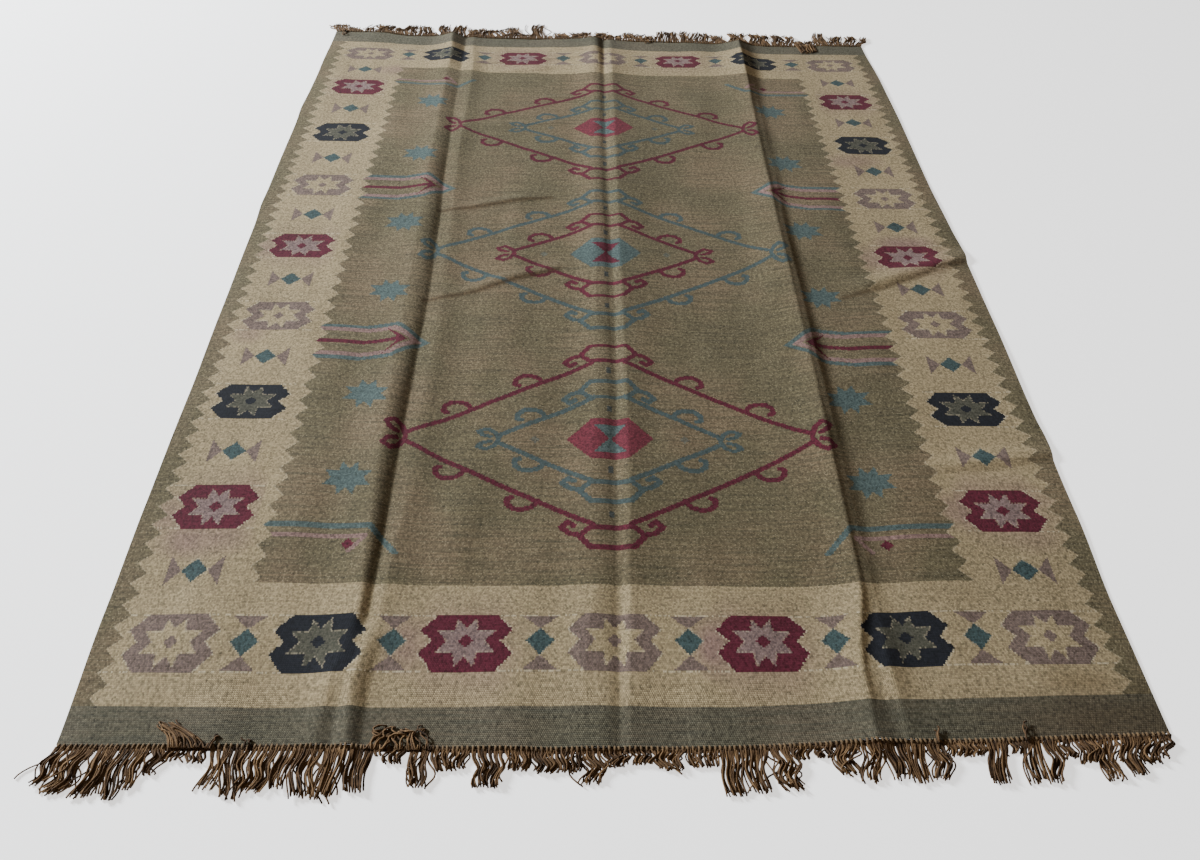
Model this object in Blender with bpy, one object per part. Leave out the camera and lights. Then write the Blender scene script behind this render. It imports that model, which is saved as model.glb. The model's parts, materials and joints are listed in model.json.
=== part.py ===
"""Flat-woven kilim rug, lying with its three storage creases and its fringed ends.

Metres, +Z up. +X runs across the rug and +Y along it, away from the near end.
The woven panel is one thin sheet. At each end a narrow twined strip lies against it,
and the fringe locks grow out of that strip.
"""
from collections import namedtuple
from itertools import chain

import bmesh
import bpy

# ---- driving dimensions ----
CLOTH_THICKNESS = 0.0028
ROW_PITCH = 0.105             # spacing of the panel's cross rows
CREASE_FALL = 1.6             # how hollow the flanks of a crease are: 1 would be straight

STRIP_DEPTH = 0.005           # twined end strip, along the rug
STRIP_THICKNESS = 0.0030
STRIP_GAP = 0.0003            # parting between the strip and the panel's edge

LOCK_PITCH = 0.0160
LOCK_ROOT_WIDTH = 0.0085
LOCK_TIP_WIDTH = 0.0042
LOCK_TIP_THICKNESS = 0.0022
LOCK_GATHER = 0.62            # spread of a clump's tips over the spread of its roots
LOCK_LANDING = 0.4            # share of a lock's length on which it comes down to the floor
SHORT_LOCK = 0.070            # locks shorter than this have one bend less
LOCK_SWAY = 0.004

# ---- outline of the woven panel ----
Side = namedtuple("Side", "y left right")
SIDES = [
    Side(-1.45, -1.006, 1.006),
    Side(-1.20, -1.014, 1.006),
    Side(-0.95, -1.018, 1.014),
    Side(-0.60, -1.020, 1.019),
    Side(-0.30, -1.024, 1.025),
    Side(0.05, -1.027, 1.025),
    Side(0.40, -1.030, 1.017),
    Side(0.75, -1.027, 1.016),
    Side(1.10, -1.018, 1.010),
    Side(1.45, -1.014, 0.997),
]

End = namedtuple("End", "x y")
NEAR_END = [
    End(-1.00, -1.462),
    End(-0.55, -1.462),
    End(-0.10, -1.468),
    End(0.20, -1.465),
    End(0.40, -1.455),
    End(0.70, -1.449),
    End(1.00, -1.437),
]
FAR_END = [
    End(-1.00, 1.458),
    End(-0.82, 1.454),
    End(-0.73, 1.428),
    End(-0.20, 1.421),
    End(0.20, 1.418),
    End(0.40, 1.405),
    End(0.60, 1.400),
    End(0.73, 1.396),
    End(0.88, 1.409),
    End(1.00, 1.413),
]

# ---- lengthwise creases, each a ridge that is steeper on one side ----
Ridge = namedtuple("Ridge", "y crest height left_run right_run")
CREASES = {
    "left_outer": [
        Ridge(-1.46, -0.500, 0.006, 0.060, 0.026),
        Ridge(-1.33, -0.512, 0.010, 0.070, 0.038),
        Ridge(-1.10, -0.524, 0.011, 0.080, 0.028),
        Ridge(-0.80, -0.537, 0.012, 0.100, 0.036),
        Ridge(-0.30, -0.547, 0.013, 0.110, 0.050),
        Ridge(0.10, -0.553, 0.014, 0.110, 0.056),
        Ridge(0.50, -0.559, 0.013, 0.110, 0.050),
        Ridge(1.00, -0.560, 0.014, 0.100, 0.044),
        Ridge(1.43, -0.566, 0.018, 0.080, 0.042),
    ],
    "left_inner": [
        Ridge(-1.46, -0.446, 0.004, 0.028, 0.060),
        Ridge(-1.33, -0.446, 0.005, 0.028, 0.060),
        Ridge(-1.10, -0.470, 0.006, 0.027, 0.060),
        Ridge(-0.80, -0.473, 0.005, 0.028, 0.055),
        Ridge(-0.30, -0.468, 0.004, 0.029, 0.050),
        Ridge(0.50, -0.477, 0.004, 0.031, 0.050),
        Ridge(1.43, -0.486, 0.004, 0.036, 0.050),
    ],
    "centre_left": [
        Ridge(-1.46, -0.078, 0.004, 0.060, 0.062),
        Ridge(-1.10, -0.045, 0.007, 0.080, 0.036),
        Ridge(-0.85, -0.050, 0.009, 0.080, 0.043),
        Ridge(-0.45, -0.034, 0.009, 0.080, 0.034),
        Ridge(0.40, -0.031, 0.009, 0.080, 0.029),
        Ridge(1.10, -0.031, 0.010, 0.090, 0.027),
        Ridge(1.43, -0.036, 0.014, 0.120, 0.031),
    ],
    "centre_right": [
        Ridge(-1.46, 0.012, 0.004, 0.026, 0.100),
        Ridge(-1.10, 0.020, 0.008, 0.028, 0.140),
        Ridge(-0.85, 0.029, 0.010, 0.035, 0.170),
        Ridge(0.40, 0.030, 0.010, 0.032, 0.170),
        Ridge(0.85, 0.034, 0.009, 0.037, 0.150),
        Ridge(1.43, 0.030, 0.006, 0.034, 0.100),
    ],
    "right": [
        Ridge(-1.46, 0.455, 0.009, 0.150, 0.018),
        Ridge(-1.33, 0.453, 0.011, 0.160, 0.022),
        Ridge(-1.10, 0.489, 0.013, 0.180, 0.036),
        Ridge(-0.80, 0.495, 0.015, 0.210, 0.045),
        Ridge(0.45, 0.499, 0.016, 0.220, 0.045),
        Ridge(0.85, 0.508, 0.018, 0.200, 0.045),
        Ridge(1.43, 0.513, 0.021, 0.120, 0.050),
    ],
    "right_outer": [
        Ridge(-1.46, 0.499, 0.007, 0.026, 0.030),
        Ridge(-1.33, 0.505, 0.008, 0.030, 0.030),
        Ridge(-1.10, 0.538, 0.004, 0.020, 0.035),
        Ridge(-0.80, 0.562, 0.002, 0.024, 0.040),
        Ridge(0.45, 0.570, 0.002, 0.028, 0.040),
        Ridge(1.43, 0.588, 0.002, 0.028, 0.040),
    ],
}
# each pair of ridges shares the trough between them
CREASE_PAIRS = [
    ("left_outer", "left_inner"),
    ("centre_left", "centre_right"),
    ("right", "right_outer"),
]
FLANK_STEP = 0.5              # a flank has one extra column, at this share of its run

# ---- slanting wrinkle across the right-hand border, from inside to the edge ----
WRINKLE_START = (0.62, -0.150)
WRINKLE_END = (1.03, 0.045)
WRINKLE_HEIGHT = 0.007
WRINKLE_HALF_WIDTH = 0.055
WRINKLE_ROWS = [-0.21, -0.165, -0.12, -0.075, -0.03, 0.015, 0.06]

# plain columns between the creases, in the two borders and the field
BORDER_SHARES = [0.35, 0.7]
RIGHT_BORDER_SHARES = [0.2, 0.45, 0.7, 0.86]
FIELD_SHARES = [0.5]

# ---- fringe: clumps from left to right, each up to a place across the rug ----
Clump = namedtuple("Clump", "until lean reach")
NEAR_CLUMPS = [
    Clump(-0.962, -0.030, 0.070),
    Clump(-0.930, -0.026, 0.080),
    Clump(-0.865, -0.020, 0.083),
    Clump(-0.835, -0.014, 0.080),
    Clump(-0.735, 0.000, 0.030),
    Clump(-0.665, 0.000, 0.097),
    Clump(-0.600, -0.006, 0.085),
    Clump(-0.490, -0.003, 0.088),
    Clump(-0.452, 0.004, 0.083),
    Clump(-0.400, 0.000, 0.022),
    Clump(-0.352, 0.000, 0.072),
    Clump(-0.290, 0.000, 0.042),
    Clump(-0.235, 0.002, 0.066),
    Clump(-0.080, 0.004, 0.047),
    Clump(-0.040, 0.004, 0.066),
    Clump(0.060, 0.000, 0.034),
    Clump(0.100, 0.000, 0.045),
    Clump(0.165, 0.000, 0.036),
    Clump(0.300, 0.002, 0.089),
    Clump(0.375, 0.000, 0.028),
    Clump(0.420, 0.000, 0.056),
    Clump(0.565, 0.000, 0.077),
    Clump(0.650, 0.000, 0.040),
    Clump(0.700, 0.000, 0.080),
    Clump(0.725, 0.000, 0.035),
    Clump(0.800, -0.004, 0.078),
    Clump(0.880, -0.002, 0.052),
    Clump(0.905, -0.004, 0.085),
    Clump(0.930, -0.006, 0.055),
    Clump(0.985, -0.010, 0.078),
    Clump(1.006, 0.004, 0.032),
]
FAR_CLUMPS = [
    Clump(-0.955, -0.030, 0.060),
    Clump(-0.870, -0.016, 0.042),
    Clump(-0.790, -0.004, 0.068),
    Clump(-0.755, 0.000, 0.062),
    Clump(-0.650, 0.000, 0.098),
    Clump(-0.620, 0.000, 0.036),
    Clump(-0.520, 0.002, 0.105),
    Clump(-0.440, 0.002, 0.082),
    Clump(-0.370, 0.000, 0.078),
    Clump(-0.310, 0.002, 0.105),
    Clump(-0.280, 0.002, 0.050),
    Clump(-0.215, 0.002, 0.125),
    Clump(-0.185, 0.002, 0.030),
    Clump(-0.080, 0.004, 0.062),
    Clump(0.010, 0.002, 0.072),
    Clump(0.075, 0.000, 0.055),
    Clump(0.125, 0.000, 0.075),
    Clump(0.200, 0.002, 0.060),
    Clump(0.260, 0.004, 0.092),
    Clump(0.410, 0.004, 0.102),
    Clump(0.480, 0.002, 0.078),
    Clump(0.610, 0.002, 0.106),
    Clump(0.730, 0.002, 0.098),
    Clump(0.820, 0.000, 0.050),
    Clump(0.870, 0.000, 0.118),
    Clump(0.970, 0.008, 0.088),
    Clump(0.997, 0.036, 0.080),
]

# ---- finishes ----
Finish = namedtuple("Finish", "color roughness")
WOVEN_WOOL = Finish((0.30, 0.26, 0.18), 0.92)
BROWN_YARN = Finish((0.16, 0.095, 0.045), 0.90)


def ease(share):
    """Smooth step from 0 to 1."""
    share = min(max(share, 0.0), 1.0)
    return share * share * (3.0 - 2.0 * share)


def between(table, place, by=0, smooth=False):
    """Row of a table at a place, worked out between its neighbouring rows."""
    if place <= table[0][by]:
        return table[0]
    for low, high in zip(table, table[1:]):
        if place <= high[by]:
            share = (place - low[by]) / (high[by] - low[by])
            share = ease(share) if smooth else share
            return type(low)(*(a + (b - a) * share for a, b in zip(low, high)))
    return table[-1]


def ridge_height(ridge, x):
    """Lift of one ridge at a place across the rug."""
    run = ridge.left_run if x < ridge.crest else ridge.right_run
    share = 1.0 - abs(x - ridge.crest) / run
    return ridge.height * share ** CREASE_FALL if share > 0.0 else 0.0


def wrinkle_height(x, y):
    """Lift of the slanting wrinkle, which grows from its inner end to the selvedge."""
    run_x = WRINKLE_END[0] - WRINKLE_START[0]
    run_y = WRINKLE_END[1] - WRINKLE_START[1]
    length = (run_x ** 2 + run_y ** 2) ** 0.5
    along = ((x - WRINKLE_START[0]) * run_x + (y - WRINKLE_START[1]) * run_y) / length
    across = ((y - WRINKLE_START[1]) * run_x - (x - WRINKLE_START[0]) * run_y) / length
    share = 1.0 - abs(across) / WRINKLE_HALF_WIDTH
    if share <= 0.0 or along <= 0.0:
        return 0.0
    return WRINKLE_HEIGHT * ease(along / length) * ease(share)


def lift(x, y):
    """Height of the panel's underside over the floor."""
    creases = sum(ridge_height(between(rows, y, smooth=True), x) for rows in CREASES.values())
    return creases + wrinkle_height(x, y)


def crease_columns(y):
    """Places across the rug that follow the creases: flanks, crests and troughs."""
    groups = []
    for outer, inner in CREASE_PAIRS:
        first = between(CREASES[outer], y, smooth=True)
        second = between(CREASES[inner], y, smooth=True)
        trough = (first.crest + first.right_run + second.crest - second.left_run) / 2
        groups.append([
            first.crest - first.left_run,
            first.crest - first.left_run * FLANK_STEP,
            first.crest,
            first.crest + (trough - first.crest) * FLANK_STEP,
            trough,
            trough + (second.crest - trough) * FLANK_STEP,
            second.crest,
            second.crest + second.right_run * FLANK_STEP,
            second.crest + second.right_run,
        ])
    return groups


def columns(y):
    """All places across the rug at one cross row, from selvedge to selvedge."""
    side = between(SIDES, y, smooth=True)
    left, centre, right = crease_columns(y)

    def shares(low, high, steps):
        return [low + (high - low) * step for step in steps]

    return list(chain(
        [side.left], shares(side.left, left[0], BORDER_SHARES),
        left, shares(left[-1], centre[0], FIELD_SHARES),
        centre, shares(centre[-1], right[0], FIELD_SHARES),
        right, shares(right[-1], side.right, RIGHT_BORDER_SHARES), [side.right],
    ))


def panel_rows():
    """Nominal places of the cross rows, closer together at the slanting wrinkle."""
    near, far = SIDES[0].y, SIDES[-1].y
    count = round((far - near) / ROW_PITCH)
    even = [near + (far - near) * step / count for step in range(count + 1)]
    clear = ROW_PITCH * 0.5
    low, high = WRINKLE_ROWS[0] - clear, WRINKLE_ROWS[-1] + clear
    return sorted([y for y in even if not low < y < high] + WRINKLE_ROWS)


def panel_grid():
    """Underside points of the panel, row by row from the near end."""
    rows = []
    ends = panel_rows()
    for nominal in ends:
        share = (nominal - ends[0]) / (ends[-1] - ends[0])
        row = []
        for x in columns(nominal):
            near = between(NEAR_END, x).y
            far = between(FAR_END, x).y
            y = near + (far - near) * share
            row.append((x, y, lift(x, nominal)))
        rows.append(row)
    return rows


def make_object(name, mesh_builder, finish):
    """New object from a bmesh, with its own plain material."""
    mesh = bpy.data.meshes.new(name)
    bmesh.ops.recalc_face_normals(mesh_builder, faces=mesh_builder.faces)
    mesh_builder.to_mesh(mesh)
    mesh_builder.free()
    material = bpy.data.materials.new(name)
    material.use_nodes = True
    shader = material.node_tree.nodes["Principled BSDF"]
    shader.inputs["Base Color"].default_value = (*finish.color, 1.0)
    shader.inputs["Roughness"].default_value = finish.roughness
    mesh.materials.append(material)
    made = bpy.data.objects.new(name, mesh)
    bpy.context.collection.objects.link(made)
    return made


def woven_panel():
    """The cloth: a thin closed sheet over the grid of underside points."""
    grid = panel_grid()
    sheet = bmesh.new()
    under = [[sheet.verts.new(point) for point in row] for row in grid]
    over = [[sheet.verts.new((x, y, z + CLOTH_THICKNESS)) for x, y, z in row] for row in grid]
    for layer in (under, over):
        for low, high in zip(layer, layer[1:]):
            for step in range(len(low) - 1):
                sheet.faces.new((low[step], low[step + 1], high[step + 1], high[step]))

    def rim(layer):
        return (layer[0] + [row[-1] for row in layer[1:-1]]
                + layer[-1][::-1] + [row[0] for row in layer[-2:0:-1]])

    low_rim, high_rim = rim(under), rim(over)
    for step, corner in enumerate(low_rim):
        after = (step + 1) % len(low_rim)
        sheet.faces.new((corner, low_rim[after], high_rim[after], high_rim[step]))
    return make_object("woven_panel", sheet, WOVEN_WOOL)


def lock_roots(clumps, start):
    """Root place, tip place, reach and clump number of each lock, from left to right."""
    locks = []
    left = start
    for number, clump in enumerate(clumps):
        width = clump.until - left
        middle = left + width / 2
        count = max(1, round(width / LOCK_PITCH))
        for step in range(count):
            root = left + width * (step + 0.5) / count
            tip = middle + clump.lean + (root - middle) * LOCK_GATHER
            locks.append((root, tip, clump.reach, number))
        left = clump.until
    return locks


def lock_rings(root, tip, reach, number, edge, outward):
    """Centre, width and thickness of each cross-section of a lock past its root."""
    bends = 2 if reach < SHORT_LOCK else 3
    sway = LOCK_SWAY * (1 if number % 2 else -1)
    start = edge.y + outward * STRIP_DEPTH
    rings = []
    for step in range(1, bends + 1):
        share = step / bends
        x = root + (tip - root) * ease(share) + sway * share * (1.0 - share)
        y = start + outward * reach * share
        z = edge.z * (1.0 - ease(share / LOCK_LANDING))
        width = LOCK_ROOT_WIDTH + (LOCK_TIP_WIDTH - LOCK_ROOT_WIDTH) * share
        thickness = STRIP_THICKNESS + (LOCK_TIP_THICKNESS - STRIP_THICKNESS) * share
        rings.append((x, y, z, width, thickness))
    return rings


EdgePoint = namedtuple("EdgePoint", "x y z")


def fringe(name, end_row, clumps, outward):
    """Twined strip along one end of the panel, with the fringe locks drawn out of its face.

    outward is -1 at the near end and +1 at the far end.
    """
    edge_line = [EdgePoint(x, y + outward * STRIP_GAP, z) for x, y, z in end_row]
    left, right = edge_line[0].x, edge_line[-1].x
    locks = [lock for lock in lock_roots(clumps, left) if lock[0] < right]
    body = bmesh.new()

    def cross_section(x):
        """Back low, back high, front high and front low corner of the strip."""
        edge = between(edge_line, x)
        front = edge.y + outward * STRIP_DEPTH
        high = edge.z + STRIP_THICKNESS
        corners = [(edge.y, edge.z), (edge.y, high), (front, high), (front, edge.z)]
        return [body.verts.new((x, y, z)) for y, z in corners]

    half = LOCK_ROOT_WIDTH / 2
    places = [left]
    for root, _, _, _ in locks:
        places += [root - half, root + half]
    places.append(right)
    sections = [cross_section(x) for x in places]
    body.faces.new(sections[0])
    body.faces.new(sections[-1])
    for step, (one, two) in enumerate(zip(sections, sections[1:])):
        for corner in range(4):
            after = (corner + 1) % 4
            is_front = corner == 2
            is_root = step % 2 == 1
            if not (is_front and is_root):
                body.faces.new((one[corner], one[after], two[after], two[corner]))
    for number, lock in enumerate(locks):
        root, tip, reach, clump = lock
        one, two = sections[2 * number + 1], sections[2 * number + 2]
        ring = [one[3], one[2], two[2], two[3]]
        edge = between(edge_line, root)
        for x, y, z, width, thickness in lock_rings(root, tip, reach, clump, edge, outward):
            low, high = z, z + thickness
            corners = [(x - width / 2, low), (x - width / 2, high),
                       (x + width / 2, high), (x + width / 2, low)]
            fresh = [body.verts.new((cx, y, cz)) for cx, cz in corners]
            for corner in range(4):
                after = (corner + 1) % 4
                body.faces.new((ring[corner], ring[after], fresh[after], fresh[corner]))
            ring = fresh
        body.faces.new(ring)
    return make_object(name, body, BROWN_YARN)


def centre_on_origin(pieces):
    """Move the rug so that the middle of its base is the origin."""
    points = [corner.co for piece in pieces for corner in piece.data.vertices]
    middle_x = (min(p.x for p in points) + max(p.x for p in points)) / 2
    middle_y = (min(p.y for p in points) + max(p.y for p in points)) / 2
    for piece in pieces:
        piece.location = (-middle_x, -middle_y, 0.0)


def main():
    for old in list(bpy.data.objects):
        bpy.data.objects.remove(old)
    grid = panel_grid()
    pieces = [
        woven_panel(),
        fringe("fringe_near", grid[0], NEAR_CLUMPS, -1),
        fringe("fringe_far", grid[-1], FAR_CLUMPS, 1),
    ]
    centre_on_origin(pieces)


main()
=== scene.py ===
import json
import math
import random
from functools import reduce

import bpy
import numpy as np
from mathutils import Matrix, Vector

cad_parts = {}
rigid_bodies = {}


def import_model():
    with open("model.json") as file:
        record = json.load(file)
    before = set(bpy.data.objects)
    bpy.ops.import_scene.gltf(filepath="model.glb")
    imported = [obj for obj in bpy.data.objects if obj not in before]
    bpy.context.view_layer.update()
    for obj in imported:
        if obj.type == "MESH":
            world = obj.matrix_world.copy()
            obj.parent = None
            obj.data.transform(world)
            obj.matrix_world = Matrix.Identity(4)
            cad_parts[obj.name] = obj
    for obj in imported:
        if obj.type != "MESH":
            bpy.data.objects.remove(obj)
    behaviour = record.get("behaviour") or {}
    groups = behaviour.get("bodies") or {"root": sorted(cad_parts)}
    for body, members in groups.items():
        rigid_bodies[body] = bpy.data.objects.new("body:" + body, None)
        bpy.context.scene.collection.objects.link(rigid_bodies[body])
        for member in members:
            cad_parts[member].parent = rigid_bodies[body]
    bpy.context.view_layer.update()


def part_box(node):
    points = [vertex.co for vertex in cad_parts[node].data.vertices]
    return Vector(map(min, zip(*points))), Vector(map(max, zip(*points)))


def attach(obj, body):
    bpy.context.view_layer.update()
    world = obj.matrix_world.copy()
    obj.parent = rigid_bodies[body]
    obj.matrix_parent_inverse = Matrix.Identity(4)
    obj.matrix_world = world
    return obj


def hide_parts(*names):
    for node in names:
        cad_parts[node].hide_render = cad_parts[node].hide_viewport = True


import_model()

# Sizes are metres where no note says mm. A plan is seen from above, x across the rug and y
# along it, and the near end is the one at low y.
fullTurn = 2 * math.pi

for item in list(bpy.data.objects):
    item.select_set(False)

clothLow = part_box("woven_panel")[0]

# the woven outline: rows of (y, left edge, right edge) and of (x, edge)
outline = {
    "sides": [
        (-1.45, -1.006, 1.006), (-1.2, -1.014, 1.006), (-0.95, -1.018, 1.014),
        (-0.6, -1.02, 1.019), (-0.3, -1.024, 1.025), (0.05, -1.027, 1.025),
        (0.4, -1.03, 1.017), (0.75, -1.027, 1.016), (1.1, -1.018, 1.01),
        (1.45, -1.014, 0.997),
    ],
    "near": [
        (-1.0, -1.462), (-0.55, -1.462), (-0.1, -1.468), (0.2, -1.465),
        (0.4, -1.455), (0.7, -1.449), (1.0, -1.437),
    ],
    "far": [
        (-1.0, 1.458), (-0.82, 1.454), (-0.73, 1.428), (-0.2, 1.421), (0.2, 1.418),
        (0.4, 1.405), (0.6, 1.4), (0.73, 1.396), (0.88, 1.409), (1.0, 1.413),
    ],
    # small bulges of the two long edges: (side, y, how far out, half length)
    "bulges": [(1, 0.055, 0.004, 0.05), (1, -0.73, 0.005, 0.045),
               (-1, 0.78, 0.003, 0.06), (-1, 0.2, 0.004, 0.06)],
    "reach": 1.45,
}

# where the tables' own zero lies in the frame
middleX = clothLow.x - min(row[1] for row in outline["sides"])
middleY = clothLow.y - min(row[1] for row in outline["near"])


def readTable(rows, place, column=1, soft=False):
    # values of one column at many places, between the rows
    places = np.array([row[0] for row in rows])
    values = np.array([row[column] for row in rows])
    place = np.clip(place, places[0], places[-1])
    step = np.clip(np.searchsorted(places, place, side="right") - 1, 0, len(places) - 2)
    share = (place - places[step]) / (places[step + 1] - places[step])
    if soft:
        share = share * share * (3 - 2 * share)
    return values[step] + (values[step + 1] - values[step]) * share


def ease(share):
    share = np.clip(share, 0, 1)
    return share * share * (3 - 2 * share)


def linear(red, green, blue):
    # a colour as it looks on a screen, 0 to 255, in the shader's terms
    def one(value):
        share = value / 255
        return share / 12.92 if share <= 0.04045 else ((share + 0.055) / 1.055) ** 2.4
    return (one(red), one(green), one(blue), 1.0)


# camera and light first
view = {
    "place": (-0.0965, -2.32, 1.677),
    "turn": (44.627, -1.442, -0.724),  # degrees
    "lens": 30.0,
    "sensor": 36.0,
}


def addObject(name, data, place=(0, 0, 0), turns=(0, 0, 0)):
    made = bpy.data.objects.new(name, data)
    bpy.context.scene.collection.objects.link(made)
    made.location = place
    made.rotation_euler = turns
    return made


def makeCamera():
    camera = bpy.data.cameras.new("camera")
    camera.lens = view["lens"]
    camera.sensor_width = view["sensor"]
    x, y, z = view["place"]
    turns = [math.radians(turn) for turn in view["turn"]]
    bpy.context.scene.camera = addObject("camera", camera, (x + middleX, y + middleY, z), turns)


lamps = {
    # name: place, target, size, watts, colour
    "window": ((-7.6, 3.2, 3.3), (0.0, 0.1, 0.0), 2.0, 2530.0, (0.903, 0.954, 1.0)),
    "ceiling": ((0.6, 0.5, 4.5), (0.0, 0.0, 0.0), 5.0, 15.0, (0.93, 0.96, 1.0)),
}
room = {"colour": (1.0, 0.78, 0.55, 1.0), "strength": 0.18, "floorGlow": 1.2}


def makeLights():
    for name, (place, target, size, watts, colour) in lamps.items():
        lamp = bpy.data.lights.new(name, "AREA")
        lamp.shape = "DISK"
        lamp.size = size
        lamp.energy = watts
        lamp.color = colour
        aim = Vector(target) - Vector(place)
        addObject(name, lamp, place, aim.to_track_quat("-Z", "Y").to_euler())
    world = bpy.data.worlds.new("room")
    bpy.context.scene.world = world
    world.use_nodes = True
    backdrop = world.node_tree.nodes["Background"]
    backdrop.inputs["Color"].default_value = room["colour"]
    backdrop.inputs["Strength"].default_value = room["strength"]


makeCamera()
makeLights()
print("camera and lights set")


# a socket that can be reckoned with: an expression on such values adds its Math nodes
class Value:
    def __init__(self, tree, socket):
        self.tree = tree
        self.socket = socket

    def node(self, kind, settings=None, inputs=None, output=0):
        made = self.tree.nodes.new(kind)
        for name, value in (settings or {}).items():
            if name == "stops":
                setStops(made.color_ramp, *value)
            else:
                setattr(made, name, value)
        setInputs(made, inputs or {})
        return Value(self.tree, made.outputs[output])

    def math(self, operation, *others, clamp=False):
        settings = {"operation": operation, "use_clamp": clamp}
        return self.node("ShaderNodeMath", settings, dict(enumerate((self, *others))))

    def vector(self, operation, *others, output=0):
        return self.node("ShaderNodeVectorMath", {"operation": operation},
                         dict(enumerate((self, *others))), output)

    def __add__(self, other):
        return self.math("ADD", other)

    def __sub__(self, other):
        return self.math("SUBTRACT", other)

    def __rsub__(self, other):
        return self.node("ShaderNodeMath", {"operation": "SUBTRACT"}, {0: other, 1: self})

    def __mul__(self, other):
        return self.math("MULTIPLY", other)

    def __lt__(self, other):
        return self.math("LESS_THAN", other)

    def __gt__(self, other):
        return self.math("GREATER_THAN", other)

    def __abs__(self):
        return self.math("ABSOLUTE")

    def atLeast(self, other):
        return self.math("MAXIMUM", other)

    def atMost(self, other):
        return self.math("MINIMUM", other)

    __radd__ = __add__
    __rmul__ = __mul__
    __and__ = __mul__
    __or__ = atLeast

    def times(self, factor, more):
        # self · factor + more in one node
        return self.math("MULTIPLY_ADD", factor, more)

    def fade(self, factor, more):
        # the same, kept between 0 and 1
        return self.math("MULTIPLY_ADD", factor, more, clamp=True)

    def pick(self, off, on):
        # one of two numbers, with this value as the mask
        return self.times(on - off, off)

    def mix(self, first, second):
        # a colour between two, with this value as the mask
        return self.node("ShaderNodeMix", {"data_type": "RGBA"},
                         {0: self, 6: first, 7: second}, output=2)

    def scale(self, factor):
        return self.node("ShaderNodeVectorMath", {"operation": "SCALE"}, {0: self, 3: factor})

    def parts(self):
        split = self.node("ShaderNodeSeparateXYZ", inputs={0: self})
        return split, Value(self.tree, split.socket.node.outputs[1])

    def joined(self, other):
        return self.node("ShaderNodeCombineXYZ", inputs={0: self, 1: other})

    def noise(self, scale, detail, roughness=0.5, dimensions="2D"):
        return self.node("ShaderNodeTexNoise", {"noise_dimensions": dimensions},
                         {"Vector": self, "Scale": scale, "Detail": detail,
                          "Roughness": roughness})

    def ramp(self, stops, kind="CONSTANT"):
        return self.node("ShaderNodeValToRGB", {"stops": (kind, stops)}, {0: self})


def setStops(ramp, kind, stops):
    ramp.interpolation = kind
    while len(ramp.elements) < len(stops):
        ramp.elements.new(1.0)
    for point, (place, colour) in zip(ramp.elements, stops):
        point.position = place
        point.color = colour


def setInputs(node, inputs):
    # a value is linked, and a number or a colour is set
    for name, value in inputs.items():
        if isinstance(value, Value):
            node.id_data.links.new(value.socket, node.inputs[name])
        else:
            node.inputs[name].default_value = value


def newMaterial(name):
    material = bpy.data.materials.new(name)
    material.use_nodes = True
    return material, Value(material.node_tree, None)


def finishMaterial(material, start, colour, roughness, relief, finish):
    bump = start.node("ShaderNodeBump", inputs={
        "Strength": finish["bump"], "Distance": finish["bumpDepth"], "Height": relief})
    setInputs(material.node_tree.nodes["Principled BSDF"], {
        "Base Color": colour, "Roughness": roughness, "Normal": bump,
        "Specular IOR Level": 0.12, "Sheen Weight": finish["sheen"], "Sheen Roughness": 0.6})
    return material


# The pattern is counted from the middle of the rug, u across and v along. It is regular there,
# and the tables say where the counted columns and rows really lie.
pattern = {
    "columnStep": 0.286, "lastColumn": 3,
    "rowStep": 0.32, "lastRow": 4,
    "halfWidth": 1.013,
    "halfLength": 1.475,
    "bandEdge": 1.4,  # from cream border to end band
    "fieldEnd": 1.15,
    "fieldSide": 0.767,
    "fieldLap": 0.008,  # how far past its ends the field's own wool goes
    # plan x of the counted columns -3 to 3, at the near, the middle and the far row
    "columns": [
        (-0.866, -0.585, -0.302, -0.012, 0.279, 0.561, 0.852),
        (-0.871, -0.58, -0.299, -0.008, 0.279, 0.56, 0.859),
        (-0.855, -0.574, -0.296, 0.005, 0.279, 0.558, 0.847),
    ],
    # plan y of the counted rows -4 to 4, down the left border, the middle and the right border
    "rows": [
        (-1.251, -0.91, -0.58, -0.257, 0.056, 0.378, 0.698, 1.021, 1.277),
        (-1.245, -0.93, -0.619, -0.294, 0.033, 0.343, 0.671, 0.963, 1.262),
        (-1.23, -0.908, -0.585, -0.26, 0.039, 0.346, 0.666, 0.967, 1.249),
    ],
    # how the two borders swerve: rows of (side, y, how far to the right, half length)
    "swerves": [(1, -0.42, 0.009, 0.24), (1, 0.42, 0.005, 0.2), (-1, 0.38, -0.005, 0.16)],
    "swerveAt": (0.6, 0.8, 0.93),  # u where a swerve starts, is whole and gets less
    "rowBend": (0.42, 0.45),  # rows bend past this share of the last column, over this
    # where the end bands start: rows of (x, y)
    "bandNear": [
        (-1.0, -1.386), (-0.7, -1.39), (-0.1, -1.386), (0.2, -1.388), (0.4, -1.377),
        (0.7, -1.366), (1.0, -1.357),
    ],
    "bandFar": [
        (-1.0, 1.372), (-0.8, 1.366), (-0.7, 1.35), (-0.2, 1.351), (0.2, 1.338),
        (0.6, 1.335), (0.75, 1.33), (0.9, 1.335), (1.0, 1.338),
    ],
}

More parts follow.
